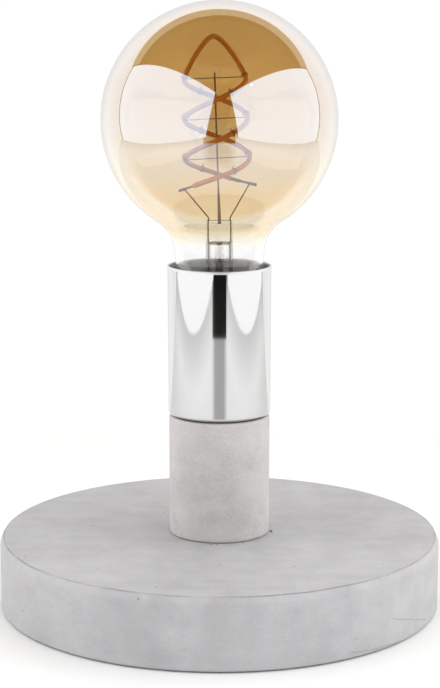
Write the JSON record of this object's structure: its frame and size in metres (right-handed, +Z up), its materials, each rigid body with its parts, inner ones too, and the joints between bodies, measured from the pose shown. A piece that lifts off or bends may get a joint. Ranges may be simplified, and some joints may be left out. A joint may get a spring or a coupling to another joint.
{
  "type": "table lamp",
  "caption": "Table lamp: round concrete disc and stem, polished chrome cup with a lampholder inside, and a bare amber globe bulb with a spiral light strip that screws out.",
  "frame": {"origin": "on the table, under the middle of the concrete disc", "axes": "+Z up; -Y is the front that the picture shows; the cable inlet faces +Y"},
  "size_m": [0.181, 0.181, 0.2459],
  "materials": {
    "concrete": "matte",
    "pad_foam": "matte",
    "black_plastic": "satin",
    "zinc_steel": "satin",
    "tinned_brass": "satin",
    "polished_chrome": "polished",
    "brass": "satin",
    "white_ceramic": "satin",
    "solder": "satin",
    "black_glass": "gloss",
    "nickel_brass": "satin",
    "cement": "matte",
    "amber_glass": "gloss",
    "clear_glass": "gloss",
    "nickel_wire": "satin",
    "amber_silicone": "satin",
    "green_laminate": "satin"
  },
  "bodies": {
    "lamp": {"concrete_base": "concrete", "base_pad": "pad_foam", "cable_bush": "black_plastic", "threaded_tube": "zinc_steel", "base_washer": "zinc_steel", "base_spring_washer": "zinc_steel", "base_nut": "zinc_steel", "concrete_stem": "concrete", "chrome_cup": "polished_chrome", "cup_tooth_washer": "zinc_steel", "earth_tag": "tinned_brass", "cup_nut": "zinc_steel", "holder_collar": "brass", "holder_lock_screw": "zinc_steel", "holder_dome": "black_plastic", "holder_core": "white_ceramic", "terminal_blocks": "brass", "terminal_screws": "zinc_steel", "centre_contact": "brass", "socket_shell": "brass", "holder_skirt": "black_plastic"},
    "bulb_contact": {"cap_contact": "solder"},
    "bulb": {"cap_insulator": "black_glass", "cap_shell": "nickel_brass", "cap_cement": "cement", "bulb_glass": "amber_glass", "glass_stem": "clear_glass", "exhaust_tube": "clear_glass", "support_post": "nickel_wire", "hook_wire_lower": "nickel_wire", "hook_wire_middle": "nickel_wire", "hook_wire_upper": "nickel_wire", "strip_ties": "nickel_wire", "light_strip": "amber_silicone", "strip_clip_left": "nickel_wire", "strip_clip_right": "nickel_wire", "lead_wire_left": "nickel_wire", "lead_wire_right": "nickel_wire", "driver_board": "green_laminate", "driver_capacitor": "black_plastic", "driver_chip": "black_plastic", "contact_wire": "nickel_wire"}
  },
  "joints": [
    {"name": "bulb_lift", "type": "slide", "parent": "lamp", "child": "bulb_contact", "axis": [0, 0, 1], "range_m": [0, 0.01452]},
    {"name": "bulb_turn", "type": "hinge", "parent": "bulb_contact", "child": "bulb", "pos_m": [0, 0, 0.1079], "axis": [0, 0, 1], "range_deg": [0, 1440]}
  ],
  "couplings": [
    {"joint": "bulb_lift", "follows": "bulb_turn", "m_per_rad": 0.00057757}
  ]
}
